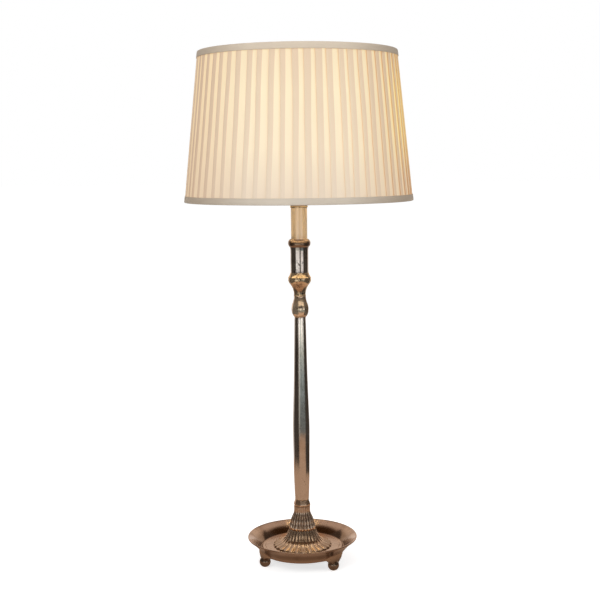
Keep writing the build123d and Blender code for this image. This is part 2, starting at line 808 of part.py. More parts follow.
def envelope(inset):
    """Half outline of the bulb's envelope from the axis, set in by a distance."""
    radius = bulb_radius - inset
    with BuildSketch(Plane.XZ) as half:
        with BuildLine():
            neck = neck_radius - inset
            Polyline((0, neck_bottom), (neck, neck_bottom), (neck, shoulder_bottom))
            Spline(
                (neck, shoulder_bottom),
                (19.5 - inset, 656.0),
                (radius, bulb_middle),
                tangents=[(0, 1), (0, 1)],
            )
            ThreePointArc(
                (radius, bulb_middle),
                (radius * sqrt(0.5), bulb_middle + radius * sqrt(0.5)),
                (0, bulb_middle + radius),
            )
            Line((0, bulb_middle + radius), (0, neck_bottom))
        make_face()
    return half.sketch


with BuildPart() as bulb_glass:
    add(envelope(0))
    revolve(axis=Axis.Z)
    add(envelope(glass_thickness))
    revolve(axis=Axis.Z, mode=Mode.SUBTRACT)
bulb_glass.part.label = "bulb_glass"
export_step(bulb_glass.part, "parts/bulb_glass.step")

# Glass mount that closes the neck and carries the filament
stem_tube_top = 655.0
pinch_top = 663.0
lead_spread = 4.0
filament_radius = 10.0
filament_height = 684.0
with BuildPart() as bulb_stem:
    with BuildSketch(Plane.XY.offset(neck_bottom)):
        Circle(neck_radius - glass_thickness - 0.02)
    extrude(amount=1.5)
    with BuildSketch(Plane.XY.offset(neck_bottom + 1.5)):
        Circle(3.6)
    extrude(amount=stem_tube_top - neck_bottom - 1.5)
    with BuildSketch(Plane.XY.offset(stem_tube_top)):
        Rectangle(2 * lead_spread + 3, 3.0)
    extrude(amount=pinch_top - stem_tube_top)
bulb_stem.part.label = "bulb_stem"
export_step(bulb_stem.part, "parts/bulb_stem.step")

filament_wire = 0.4
with BuildPart() as bulb_filament:
    for side in (-1, 1):
        foot_point = Vector(side * lead_spread, 0, pinch_top)
        end_point = Vector(side * filament_radius, 0, filament_height)
        with BuildSketch(Plane(origin=foot_point, z_dir=end_point - foot_point)):
            Circle(filament_wire)
        extrude(amount=(end_point - foot_point).length)
    with BuildSketch(Plane.XZ):
        with Locations((filament_radius, filament_height)):
            Circle(filament_wire)
    revolve(axis=Axis.Z, revolution_arc=180)
    # The leads start on the pinch
    with BuildSketch(Plane.XY.offset(pinch_top)):
        Rectangle(30, 30)
    extrude(amount=-2, mode=Mode.SUBTRACT)
bulb_filament.part.label = "bulb_filament"
export_step(bulb_filament.part, "parts/bulb_filament.step")

# ---------------------------------------------------------------- shade

skin_bottom = shade_bottom + trim_thickness + skin_gap
skin_top = shade_top - trim_thickness - skin_gap
cover_inset = pleat_depth + cover_wall


def pleated_outline(height):
    """Knife pleats in plan: each drops sharply beside the next one's fold."""
    radius = shade_radius(height)
    depth = pleat_depth * radius / shade_bottom_radius
    pitch = 360 / pleat_count
    points = []
    for index in range(pleat_count):
        points.append(at_angle(radius - depth, (index - pleat_step) * pitch))
        points.append(at_angle(radius, index * pitch))
    with BuildSketch() as outline:
        with BuildLine():
            Polyline(*points, close=True)
        make_face()
    return outline.sketch


def pleated_hollow(height):
    """Inside of the pleated cover, with one flat side for each pleat."""
    with BuildSketch() as hollow:
        RegularPolygon(
            shade_radius(height) - cover_inset, pleat_count, major_radius=False, rotation=180 / pleat_count
        )
    return hollow.sketch


def cone_shell(outer_inset, inner_inset, bottom, top):
    """Closed ring-shaped section between two lines parallel to the shade's side."""
    with BuildSketch(Plane.XZ) as section:
        with BuildLine():
            Polyline(
                (shade_radius(bottom) - outer_inset, bottom),
                (shade_radius(top) - outer_inset, top),
                (shade_radius(top) - inner_inset, top),
                (shade_radius(bottom) - inner_inset, bottom),
                close=True,
            )
        make_face()
    return section.sketch


with BuildPart() as pleated_cover:
    for height in (skin_bottom, skin_top):
        with BuildSketch(Plane.XY.offset(height)):
            add(pleated_outline(height))
    loft(ruled=True)
    for height in (skin_bottom, skin_top):
        with BuildSketch(Plane.XY.offset(height)):
            add(pleated_hollow(height))
    loft(ruled=True, mode=Mode.SUBTRACT)
pleated_cover.part.label = "pleated_cover"
export_step(pleated_cover.part, "parts/pleated_cover.step")

liner_inset = cover_inset + skin_gap
with BuildPart() as shade_liner:
    add(cone_shell(liner_inset, liner_inset + liner_thickness, skin_bottom, skin_top))
    revolve(axis=Axis.Z)
shade_liner.part.label = "shade_liner"
export_step(shade_liner.part, "parts/shade_liner.step")

# Wire rings inside the liner's edges
ring_inset = liner_inset + liner_thickness + skin_gap + ring_wire
bottom_ring_height = skin_bottom + ring_wire
top_ring_height = skin_top - ring_wire
bottom_ring_radius = shade_radius(bottom_ring_height) - ring_inset
top_ring_radius = shade_radius(top_ring_height) - ring_inset
with BuildPart() as shade_bottom_ring:
    with Locations((0, 0, bottom_ring_height)):
        Torus(bottom_ring_radius, ring_wire)
shade_bottom_ring.part.label = "shade_bottom_ring"
export_step(shade_bottom_ring.part, "parts/shade_bottom_ring.step")

with BuildPart() as shade_top_ring:
    with Locations((0, 0, top_ring_height)):
        Torus(top_ring_radius, ring_wire)
shade_top_ring.part.label = "shade_top_ring"
export_step(shade_top_ring.part, "parts/shade_top_ring.step")


def trim_section(edge, inward, ring_radius):
    """Tape folded over an edge of the shade: inward is +1 from the bottom edge, -1 from the top one."""
    outer_face = shade_radius(edge) + trim_thickness
    inner_face = ring_radius - ring_wire - skin_gap
    turn = edge + inward * trim_thickness
    outer_end = edge + inward * trim_height
    inner_end = edge + inward * trim_return
    with BuildSketch(Plane.XZ) as section:
        with BuildLine():
            # The fold is rounded
            ThreePointArc(
                (outer_face - trim_fold, edge),
                (outer_face - 0.3 * trim_fold, edge + inward * 0.3 * trim_fold),
                (outer_face, edge + inward * trim_fold),
            )
            Polyline(
                (outer_face, edge + inward * trim_fold),
                (shade_radius(outer_end) + trim_thickness, outer_end),
                (shade_radius(outer_end) + skin_gap, outer_end),
                (shade_radius(turn) + skin_gap, turn),
                (inner_face, turn),
                (inner_face, inner_end),
                (inner_face - trim_thickness, inner_end),
                (inner_face - trim_thickness, edge),
                (outer_face - trim_fold, edge),
            )
        make_face()
    return section.sketch


with BuildPart() as bottom_trim:
    add(trim_section(shade_bottom, 1, bottom_ring_radius))
    revolve(axis=Axis.Z)
bottom_trim.part.label = "bottom_trim"
export_step(bottom_trim.part, "parts/bottom_trim.step")

with BuildPart() as top_trim:
    add(trim_section(shade_top, -1, top_ring_radius))
    revolve(axis=Axis.Z)
top_trim.part.label = "top_trim"
export_step(top_trim.part, "parts/top_trim.step")

# Fitter: a flat ring on the lampholder, and spokes out to the bottom wire
with BuildPart() as fitter_ring:
    with BuildSketch(Plane.XY.offset(fitter_bottom)):
        Circle(fitter_radius)
        Circle(fitter_bore, mode=Mode.SUBTRACT)
    extrude(amount=fitter_thickness)
fitter_ring.part.label = "fitter_ring"
export_step(fitter_ring.part, "parts/fitter_ring.step")

spoke_height = fitter_bottom - spoke_wire
spoke_end_height = bottom_ring_height + ring_wire + 0.9
for spoke_number, spoke_angle in enumerate(spoke_angles, 1):
    with BuildPart() as fitter_spoke:
        with BuildLine() as spoke_path:
            FilletPolyline(
                (18.7, 0, spoke_height),
                (27.0, 0, spoke_height),
                (bottom_ring_radius + 0.6, 0, spoke_end_height),
                radius=12.0,
            )
        with BuildSketch(Plane.YZ.offset(18.7)):
            with Locations((0, spoke_height)):
                Circle(spoke_wire)
        sweep(path=spoke_path.wire())
        add(shade_bottom_ring.part, mode=Mode.SUBTRACT)
    spoke = fitter_spoke.part.rotate(Axis.Z, spoke_angle)
    spoke.label = f"fitter_spoke_{spoke_number}"
    export_step(spoke, f"parts/fitter_spoke_{spoke_number}.step")
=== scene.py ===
"""Looks of the candlestick lamp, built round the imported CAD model. Metres, +Z up, the front is -Y."""

import random
from math import cos, pi, radians, sin

import bpy
from mathutils import Matrix, Vector


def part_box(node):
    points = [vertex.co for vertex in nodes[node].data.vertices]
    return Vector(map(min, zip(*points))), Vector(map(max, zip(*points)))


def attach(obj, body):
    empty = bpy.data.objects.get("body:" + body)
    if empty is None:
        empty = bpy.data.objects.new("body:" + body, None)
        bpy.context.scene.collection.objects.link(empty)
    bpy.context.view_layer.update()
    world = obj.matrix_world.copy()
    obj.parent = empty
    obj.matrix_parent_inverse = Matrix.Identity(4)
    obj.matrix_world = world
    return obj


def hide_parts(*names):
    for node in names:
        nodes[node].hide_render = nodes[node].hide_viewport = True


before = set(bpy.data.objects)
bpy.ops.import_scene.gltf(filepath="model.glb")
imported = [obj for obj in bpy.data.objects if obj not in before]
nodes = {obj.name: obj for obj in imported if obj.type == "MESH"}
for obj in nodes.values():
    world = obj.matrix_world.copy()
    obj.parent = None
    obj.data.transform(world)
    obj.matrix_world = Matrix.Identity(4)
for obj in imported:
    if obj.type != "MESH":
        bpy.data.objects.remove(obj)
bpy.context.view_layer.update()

# ---------------------------------------------------------------- camera

CAMERA_PLACE = (0.0002, -1.811, 0.6473)
CAMERA_DOWN = 6.9  # degrees below the horizon
CAMERA_ROLL = -0.62  # degrees
CAMERA_LENS = 69.27  # mm on a 36 mm sensor

camera_data = bpy.data.cameras.new("camera")
camera_data.lens = CAMERA_LENS
camera_data.sensor_width = 36.0
camera = bpy.data.objects.new("camera", camera_data)
bpy.context.scene.collection.objects.link(camera)
tilt = Matrix.Rotation(radians(90 - CAMERA_DOWN), 4, "X")
roll = Matrix.Rotation(radians(CAMERA_ROLL), 4, "Z")
camera.matrix_world = Matrix.Translation(CAMERA_PLACE) @ tilt @ roll
bpy.context.scene.camera = camera
bpy.context.scene.view_settings.view_transform = "Standard"

# ---------------------------------------------------------------- material kit


class Shader:
    """The node tree of a material or a world, written down as nested calls."""

    def __init__(self, name, kind="Material"):
        self.owner = {"Material": bpy.data.materials, "World": bpy.data.worlds}[kind].new(name)
        self.owner.use_nodes = True
        self.tree = self.owner.node_tree
        self.tree.nodes.clear()
        self.output = self.tree.nodes.new("ShaderNodeOutput" + kind)

    def node(self, kind, inputs=(), **settings):
        made = self.tree.nodes.new("ShaderNode" + kind)
        for key, value in settings.items():
            setattr(made, key, value)
        for key, value in dict(inputs).items():
            self.feed(made.inputs[key], value)
        return made

    def feed(self, socket, value):
        if isinstance(value, bpy.types.NodeSocket):
            self.tree.links.new(value, socket)
        elif isinstance(value, (tuple, list)) and len(value) == 3 and socket.type == "RGBA":
            socket.default_value = (*value, 1.0)
        else:
            socket.default_value = value

    def finish(self, kind, inputs):
        """The shader that the tree ends in, and what the tree belongs to."""
        self.tree.links.new(self.node(kind, inputs).outputs[0], self.output.inputs["Surface"])
        return self.owner

    def surface(self, inputs):
        return self.finish("BsdfPrincipled", inputs)

    def math(self, operation, first, second=0.0, third=0.0):
        return self.node("Math", {0: first, 1: second, 2: third}, operation=operation).outputs[0]

    def axis(self, letter):
        coords = self.node("TexCoord").outputs["Object"]
        return self.node("SeparateXYZ", {"Vector": coords}).outputs[letter]

    def angle(self):
        """Angle round the lamp's axis, from +X, in radians."""
        return self.math("ARCTAN2", self.axis("Y"), self.axis("X"))

    def hypotenuse(self, x, y):
        return self.math("SQRT", self.math("ADD", self.math("MULTIPLY", x, x), self.math("MULTIPLY", y, y)))

    def spread(self, value, low, high, to_low=0.0, to_high=1.0):
        """Value from low..high to to_low..to_high, clamped."""
        inputs = {"Value": value, "From Min": low, "From Max": high, "To Min": to_low, "To Max": to_high}
        return self.node("MapRange", inputs, clamp=True).outputs["Result"]

    def near(self, value, middle, full, none, most=1.0):
        """The most within full of the middle, and fading from there to 0 at none."""
        away = self.math("ABSOLUTE", self.math("SUBTRACT", value, middle))
        return self.spread(away, full, none, most, 0.0)

    def noise(self, scale, detail=4.0, stretch=(1, 1, 1), distortion=0.0):
        coords = self.node("TexCoord").outputs["Object"]
        place = self.node("Mapping", {"Vector": coords, "Scale": stretch}).outputs["Vector"]
        inputs = {"Vector": place, "Scale": scale, "Detail": detail, "Distortion": distortion}
        return self.node("TexNoise", inputs).outputs["Fac"]

    def ramp(self, fac, stops):
        """Colour or grey by a factor: stops are (place, colour)."""
        made = self.node("ValToRGB", {"Fac": fac})
        elements = made.color_ramp.elements
        while len(elements) < len(stops):
            elements.new(0.5)
        for element, (place, colour) in zip(elements, stops):
            element.position = place
            colour = colour if isinstance(colour, tuple) else (colour,) * 3
            element.color = (*colour, 1.0)
        return made.outputs["Color"]

    def mix(self, fac, first, second, blend="MIX"):
        inputs = {"Fac": fac, "Color1": first, "Color2": second}
        return self.node("MixRGB", inputs, blend_type=blend).outputs["Color"]

    def soft_edges(self, radius):
        """Normals that run smoothly over sharp edges."""
        return self.node("Bevel", {"Radius": radius}, samples=6).outputs["Normal"]

    def bump(self, height, strength, distance, normal=None):
        inputs = {"Height": height, "Strength": strength, "Distance": distance}
        if normal is not None:
            inputs["Normal"] = normal
        return self.node("Bump", inputs).outputs["Normal"]


def assign(material, *names):
    for name in names:
        obj = nodes[name]
        obj.data.materials.clear()
        obj.data.materials.append(material)


# ---------------------------------------------------------------- metals

SPECK_DARK = (0.10, 0.07, 0.055)
DULL_BROWN = (0.40, 0.28, 0.20)
COVE_SHADE_BROWN = (0.16, 0.08, 0.03)
GROOVE_SHADE_BROWN = (0.21, 0.12, 0.065)
REFLECTION_STRIPE_DARK = (0.14, 0.14, 0.13)
# Noise scales
CLOUDS, WAVES, PATCHES, DENTS, SPECKS, SCRATCHES = 38.0, 55.0, 90.0, 260.0, 620.0, 900.0
STRIPE_PLACE = 0.36  # of the way across a facet
# A cone along the tray's wall: its radius at height 0, and how much that gains with height
WALL_RADIUS, WALL_FLARE = 0.0445, 0.965


def aged_plate_with_painted_light(
    name,
    bright,
    worn,
    rough=0.12,
    wear=0.5,
    specks=0.60,
    metal=1.0,
    edge=None,
    wavy=0.10,
    dents=0.0,
    dull_above=None,
    cove=None,
    stripes=None,
    tones=None,
    flutes=None,
):
    """Old silver plate: cloudy tarnish from bright to worn, small dark specks and fine rubbing scratches, and
    through the arguments below painted shade, a painted reflection and painted highlights.

    wear: share of the clouds that is worn. specks: the lower, the more of them. metal: metallic share.
    edge: radius to which edges look rounded. wavy, dents: strength of the broad and the small dents.
    dull_above: height above which the plate is dull.
    cove: (radius, height), painted shade inside the tray's wall, outward of the radius and below the height.
    stripes: (facets, first corner in degrees, lowest height), a painted dark reflection along each facet.
    tones: (low, high, stops), factors on the colour between two heights, which paint highlights and shade by
    height.
    flutes: (count, first crest in degrees), painted shade in the grooves between the flutes, which are also
    rougher.
    """
    m = Shader(name)
    cloud = m.noise(CLOUDS, detail=6.0, distortion=0.4)
    colour = m.ramp(cloud, [(0.30, worn), (0.30 + 0.4 * wear, bright)])
    spots = m.ramp(m.noise(SPECKS, detail=3.0, stretch=(1, 1, 0.45)), [(specks, 0.0), (specks + 0.12, 1.0)])
    patches = m.ramp(m.noise(PATCHES, detail=2.0), [(0.45, 0.0), (0.65, 1.0)])
    colour = m.mix(m.math("MULTIPLY", spots, patches), colour, SPECK_DARK)
    roughness = m.math("MULTIPLY_ADD", cloud, 0.12, rough - 0.05)
    if dull_above is not None:
        dull = m.spread(m.axis("Z"), dull_above, dull_above + 0.0015)
        colour = m.mix(dull, colour, DULL_BROWN)
        roughness = m.math("MULTIPLY_ADD", dull, 0.16, roughness)
    # painted shade: a dark brown band low in the tray's cove
    if cove is not None:
        radius, height = cove
        out = m.hypotenuse(m.axis("X"), m.axis("Y"))
        at_zero = m.math("MULTIPLY_ADD", m.axis("Z"), -WALL_FLARE, out)
        inside = m.spread(at_zero, WALL_RADIUS, WALL_RADIUS + 0.001, 1.0, 0.0)
        deep = m.math("MULTIPLY", inside, m.spread(out, radius, radius + 0.001))
        deep = m.math("MULTIPLY", deep, m.spread(m.axis("Z"), height - 0.006, height, 0.55, 0.0))
        colour = m.mix(deep, colour, COVE_SHADE_BROWN)
    # painted reflection: a dark stripe along each facet
    if stripes is not None:
        count, first_corner, lowest = stripes
        turn = m.math("SUBTRACT", m.angle(), radians(first_corner))
        across = m.math("FRACT", m.math("MULTIPLY", turn, count / (2 * pi)))
        stripe = m.near(across, STRIPE_PLACE, 0.03, 0.11, 0.75)
        stripe = m.math("MULTIPLY", stripe, m.spread(m.axis("Z"), lowest, lowest + 0.05))
        colour = m.mix(stripe, colour, REFLECTION_STRIPE_DARK)
    # painted highlights and shade: the colour is scaled by height
    if tones is not None:
        low, high, stops = tones
        colour = m.mix(1.0, colour, m.ramp(m.spread(m.axis("Z"), low, high), stops), blend="MULTIPLY")
    # painted shade: darker and rougher in the grooves between the flutes
    if flutes is not None:
        count, first_crest = flutes
        turn = m.math("SUBTRACT", m.angle(), radians(first_crest))
        wave = m.math("COSINE", m.math("MULTIPLY", turn, float(count)))
        groove_shade = m.spread(wave, -0.95, -0.1, 0.42, 0.0)
        colour = m.mix(groove_shade, colour, GROOVE_SHADE_BROWN)
        roughness = m.math("MULTIPLY_ADD", groove_shade, 0.15, roughness)
    scratches = m.noise(SCRATCHES, detail=2.0, stretch=(1, 1, 0.06))
    normal = m.bump(scratches, 0.05, 0.0002, m.soft_edges(edge) if edge else None)
    normal = m.bump(m.noise(WAVES, detail=2.0), wavy, 0.0006, normal)
    if dents:
        normal = m.bump(m.noise(DENTS, detail=3.0), dents, 0.0006, normal)
    return m.surface({"Base Color": colour, "Metallic": metal, "Roughness": roughness, "Normal": normal})


def bright_metal(name, colour, tint, rough, scratch=0.05):
    """Clean turned metal with faint turning lines."""
    m = Shader(name)
    mixed = m.mix(m.noise(120.0, detail=4.0), colour, tint)
    lines = m.noise(300.0, detail=2.0, stretch=(0.1, 0.1, 6.0))
    roughness = m.math("MULTIPLY_ADD", lines, 0.1, rough - 0.05)
    normal = m.bump(lines, scratch, 0.0002)
    return m.surface({"Base Color": mixed, "Metallic": 1.0, "Roughness": roughness, "Normal": normal})


def moulded(name, colour, tint, rough, grain=400.0, depth=0.04):
    """Plastic, ceramic or paint: nearly even colour with a fine grain."""
    m = Shader(name)
    mixed = m.mix(m.noise(45.0, detail=4.0), colour, tint)
    roughness = m.math("MULTIPLY_ADD", m.noise(150.0, detail=3.0), 0.14, rough - 0.07)
    normal = m.bump(m.noise(grain, detail=2.0), depth, 0.0002)
    return m.surface({"Base Color": mixed, "Roughness": roughness, "Normal": normal})


# Painted highlights and painted shade: lowest and highest height, and between them the plate's factors by
# share of the way
STEM_PAINTED_LIGHT = (0.3300, 0.4000, [(0.0, 0.92), (0.35, 0.92), (0.75, 1.25)])
FOOT_PAINTED_LIGHT = (0.0295, 0.0570, [(0.0, 0.74), (0.20, 0.76), (0.34, 1.20), (0.72, 1.20), (0.90, 1.1)])
BELL_PAINTED_LIGHT = (
    0.0550,
    0.0900,
    [(0.0, 1.19), (0.22, 1.19), (0.32, 0.84), (0.50, 0.86), (0.62, 1.0), (0.80, 1.0), (0.90, 0.84)],
)
BALL_PAINTED_LIGHT = (0.0080, 0.0280, [(0.0, 0.58), (0.45, 0.58), (0.65, 0.86)])
SOCKET_BEAD, SOCKET_TOP = 0.5115, 0.5246  # heights where the candle socket's bead ring starts and ends

stem_plate = aged_plate_with_painted_light(
    "stem_plate",
    (0.80, 0.73, 0.66),
    (0.68, 0.59, 0.51),
    rough=0.10,
    edge=0.0032,
    wavy=0.03,
    stripes=(8, -102.5, 0.270),
    tones=STEM_PAINTED_LIGHT,
)
collar_plate = aged_plate_with_painted_light("collar_plate", (0.96, 0.72, 0.53), (0.74, 0.51, 0.36), rough=0.26, edge=0.0008)
socket_plate = aged_plate_with_painted_light(
    "socket_plate",
    (0.78, 0.71, 0.65),
    (0.50, 0.42, 0.37),
    wear=0.8,
    specks=0.50,
    dull_above=SOCKET_BEAD,
)
knop_plate = aged_plate_with_painted_light(
    "knop_plate",
    (1.0, 0.78, 0.52),
    (0.48, 0.29, 0.17),
    rough=0.10,
    wear=0.8,
    specks=0.48,
    metal=0.91,
    dents=0.35,
)
vase_plate = aged_plate_with_painted_light(
    "vase_plate",
    (1.0, 0.80, 0.58),
    (0.58, 0.38, 0.24),
    rough=0.13,
    wear=0.8,
    specks=0.48,
    metal=0.88,
    edge=0.0018,
    dents=0.5,
)
foot_plate = aged_plate_with_painted_light(
    "foot_plate", (0.82, 0.64, 0.48), (0.60, 0.42, 0.30), rough=0.17, tones=FOOT_PAINTED_LIGHT, flutes=(28, -88.3)
)
bell_plate = aged_plate_with_painted_light(
    "bell_plate", (0.84, 0.68, 0.54), (0.62, 0.45, 0.34), rough=0.25, tones=BELL_PAINTED_LIGHT, flutes=(22, -88.9)
)
ball_plate = aged_plate_with_painted_light("ball_plate", (0.66, 0.52, 0.41), (0.44, 0.32, 0.24), tones=BALL_PAINTED_LIGHT)
tray_plate = aged_plate_with_painted_light(
    "tray_plate", (0.64, 0.48, 0.375), (0.46, 0.32, 0.24), rough=0.16, cove=(0.0640, 0.0400)
)
assign(stem_plate, "stem")
assign(collar_plate, "stem_collar")
assign(socket_plate, "candle_socket")
assign(knop_plate, "socket_knop")
assign(vase_plate, "vase_knop")
assign(foot_plate, "fluted_foot")
assign(bell_plate, "fluted_bell")
assign(ball_plate, "ball_foot_front_right", "ball_foot_front_left", "ball_foot_back")
assign(tray_plate, "tray")

steel = bright_metal("zinc_steel", (0.56, 0.56, 0.55), (0.42, 0.42, 0.42), 0.36)
assign(steel, "threaded_rod", "base_washer", "base_nut", "socket_washer", "socket_nut")
assign(bright_metal("cap_brass", (0.95, 0.80, 0.56), (0.52, 0.35, 0.17), 0.07, 0.02), "tube_cap")
brass = bright_metal("holder_brass", (0.76, 0.56, 0.27), (0.62, 0.43, 0.18), 0.2)
assign(brass, "holder_base", "holder_shell", "lower_shade_ring", "upper_shade_ring")
contact = bright_metal("contact_brass", (0.80, 0.66, 0.38), (0.68, 0.52, 0.28), 0.25)
assign(contact, "terminal_screws", "bulb_contacts", "bulb_pins")
assign(contact, "plunger_front", "plunger_back", "plunger_spring_front", "plunger_spring_back")
assign(bright_metal("drawn_aluminium", (0.74, 0.74, 0.74), (0.60, 0.60, 0.60), 0.3), "bulb_cap")
assign(bright_metal("tungsten", (0.6, 0.55, 0.5), (0.5, 0.45, 0.4), 0.4), "bulb_filament")

assign(moulded("cast_weight", (0.028, 0.027, 0.026), (0.05, 0.045, 0.04), 0.6, 120.0, 0.3), "base_weight")
assign(moulded("nylon", (0.82, 0.80, 0.74), (0.74, 0.72, 0.66), 0.45), "rod_bush")
assign(moulded("phenolic", (0.035, 0.028, 0.024), (0.05, 0.04, 0.035), 0.4), "switch_block", "bulb_insulator")
assign(moulded("porcelain", (0.86, 0.85, 0.81), (0.80, 0.79, 0.75), 0.16), "holder_insert")
assign(moulded("ivory_bar", (0.83, 0.80, 0.70), (0.78, 0.74, 0.64), 0.3), "switch_bar")
assign(moulded("bulb_mount", (0.80, 0.82, 0.82), (0.74, 0.77, 0.77), 0.1), "bulb_stem")
white_wire = moulded("white_coating", (0.84, 0.83, 0.79), (0.76, 0.74, 0.69), 0.4, 300.0, 0.1)
assign(white_wire, "shade_bottom_ring", "shade_top_ring", "fitter_ring")
assign(white_wire, *[f"fitter_spoke_{number}" for number in (1, 2, 3, 4)])

# ---------------------------------------------------------------- candle tube and bulb

DARK_FOOT_TOP = 0.535  # height where the tube's darker, browner foot ends
BULB_NECK, BULB_BELLY = 0.632, 0.668  # heights between which the bulb's glow rises to its full strength
BULB_GLOW = 11.0


def tube_material():
    """Ivory card tube with a satin lacquer, faintly streaked along its length, and darker and browner just
    above the socket.
    """
    m = Shader("candle_ivory")
    streaks = m.noise(260.0, detail=3.0, stretch=(1, 1, 0.03))
    colour = m.mix(streaks, (0.82, 0.565, 0.315), (0.90, 0.68, 0.42))
    darker_foot = m.spread(m.axis("Z"), SOCKET_TOP, DARK_FOOT_TOP, 1.0, 0.0)
    return m.surface(
        {
            "Base Color": m.mix(m.math("MULTIPLY", darker_foot, 0.45), colour, (0.52, 0.31, 0.13)),
            "Roughness": 0.38,
            "Normal": m.bump(streaks, 0.04, 0.0002),
            "Coat Weight": 1.0,
            "Coat Roughness": 0.13,
            "Coat IOR": 2.2,
        }
    )


def bulb_material():
    """Pearl glass that glows, dimmer and warmer in its neck."""
    m = Shader("pearl_glass_lit")
    rise = m.spread(m.axis("Z"), BULB_NECK, BULB_BELLY, 0.25, 1.0)
    return m.surface(
        {
            "Base Color": (0.95, 0.92, 0.86),
            "Roughness": 0.35,
            "Emission Color": m.mix(rise, (0.55, 0.30, 0.10), (1.0, 0.80, 0.50)),
            "Emission Strength": m.math("MULTIPLY", rise, BULB_GLOW),
        }
    )


assign(tube_material(), "candle_tube")
assign(bulb_material(), "bulb_glass")

# ---------------------------------------------------------------- shade geometry

SHADE_BOTTOM, SHADE_TOP = 0.584, 0.814
BOTTOM_RADIUS, TOP_RADIUS = 0.1778, 0.1536
MIDDLE_RADIUS = 0.166
PLEATS = 58
PITCH = 2 * pi / PLEATS
CLOTH_PER_PLEAT = 0.0352  # the cloth taken up by one pleat, laps included
COVER_LOW = SHADE_BOTTOM + 0.0008
COVER_HIGH = SHADE_TOP - 0.0008
COVER_ROWS = 26
GAP = 0.00005  # keeps the cloth and the tapes off what they lie against
FOLD_ROUND = 0.00035  # half the width of a fold
TAPE = 0.00075  # thickness of the binding tape
TAPE_OUTSIDE, TAPE_MIDDLE, TAPE_INSIDE = 0.0098, 0.005, 0.003  # heights on the tape, from the shade's edge
RING_WIRE = 0.0016  # radius of the wire rings at the shade's edges


def shade_radius(z):
    share = (z - SHADE_BOTTOM) / (SHADE_TOP - SHADE_BOTTOM)
    return BOTTOM_RADIUS + share * (TOP_RADIUS - BOTTOM_RADIUS)


def mesh_object(name, vertices, faces, material):
    mesh = bpy.data.meshes.new(name)
    mesh.from_pydata(vertices, [], faces)
    mesh.update()
    mesh.shade_smooth()
    obj = bpy.data.objects.new(name, mesh)
    obj.data.materials.append(material)
    bpy.context.scene.collection.objects.link(obj)
    return obj


def wobble(rng, amount):
    """A gentle curve along the shade's height, from -amount to amount."""
    waves = [(rng.uniform(0.4, 1.6), rng.uniform(0, 2 * pi), rng.uniform(0.3, 1.0)) for _ in range(3)]
    total = sum(weight for _, _, weight in waves)
    return lambda share: amount * sum(w * sin(2 * pi * f * share + p) for f, p, w in waves) / total


def pleat_edges():
    """For each pleat, two functions of the height share: its fold's angle, and the angle its lap takes."""
    rng = random.Random(58)
    edges = []
    for index in range(PLEATS):
        shift = rng.uniform(-0.10, 0.10) * PITCH
        lean = rng.uniform(-0.07, 0.07) * PITCH
        curve = wobble(rng, 0.035 * PITCH)
        lap = rng.uniform(0.86, 1.16)
        lap_curve = wobble(rng, 0.05)

        def fold(share, index=index, shift=shift, lean=lean, curve=curve):
            return index * PITCH + shift + lean * (share - 0.5) + curve(share)

        def depth(share, lap=lap, lap_curve=lap_curve):
            radius = shade_radius(COVER_LOW + share * (COVER_HIGH - COVER_LOW))
            full = (CLOTH_PER_PLEAT / radius - PITCH) / 2
            return full * (lap + lap_curve(share))

        edges.append((fold, depth))
    return edges


def pleat_section(here, depth, following, next_depth, hair):
    """One pleat's cloth at one height: (angle, depth below the outside, 1 for the single layer).

    It runs from its middle layer round its fold, over the lap and the single layer, and under the next fold.
    """
    lap_end = here + depth
    under = following + next_depth
    return [
        (here + 0.2 * depth, 0.00125, 0.0),
        (here + hair, 0.00055, 0.0),
        (here, 0.0003, 0.0),
        (here + hair, 0.0, 0.0),
        (here + 0.5 * depth, 0.0001, 0.0),
        (lap_end - hair, 0.00025, 0.0),
        (lap_end + hair, 0.0003, 1.0),
        (0.5 * (lap_end + following), 0.0007, 1.0),
        (following - 2 * hair, 0.0014, 1.0),
        (following + hair, 0.0018, 0.0),
        (under - hair, 0.0021, 0.0),
        (under, 0.0017, 0.0),
    ]


def pleat_mesh(material):
    """Knife-pleated cloth: each fold stands proud, and the cloth doubles back under it."""
    edges = pleat_edges()
    vertices, single = [], []
    for row in range(COVER_ROWS):
        share = row / (COVER_ROWS - 1)
        z = COVER_LOW + share * (COVER_HIGH - COVER_LOW)
        radius = shade_radius(z) - GAP
        hair = FOLD_ROUND / radius
        for index in range(PLEATS):
            fold, depth = edges[index]
            next_fold, next_depth = edges[(index + 1) % PLEATS]
            following = next_fold(share) + (2 * pi if index == PLEATS - 1 else 0)
            section = pleat_section(fold(share), depth(share), following, next_depth(share), hair)
            for angle, inset, alone in section:
                r = radius - inset
                vertices.append((r * cos(angle), r * sin(angle), z))
                single.append(alone)
    count = len(vertices) // COVER_ROWS
    faces = []
    for row in range(COVER_ROWS - 1):
        for column in range(count):
            a, b = row * count + column, row * count + (column + 1) % count
            faces.append((a, b, b + count, a + count))
    cover = mesh_object("pleated_cloth", vertices, faces, material)
    attribute = cover.data.attributes.new("single", "FLOAT", "POINT")
    attribute.data.foreach_set("value", single)
    return cover


def lathe_loop(name, loop, material, ripple, segments=4 * PLEATS):
    """A closed outline of (radius, height) turned round the axis. ripple(angle) is added to the radius."""
    vertices, faces = [], []
    count = len(loop)
    for segment in range(segments):
        angle = 2 * pi * segment / segments
        extra = ripple(angle)
        for r, z in loop:
            vertices.append(((r + extra) * cos(angle), (r + extra) * sin(angle), z))
    for segment in range(segments):
        after = (segment + 1) % segments
        for k in range(count):
            n = (k + 1) % count
            faces.append((segment * count + k, after * count + k, after * count + n, segment * count + n))
    return mesh_object(name, vertices, faces, material)


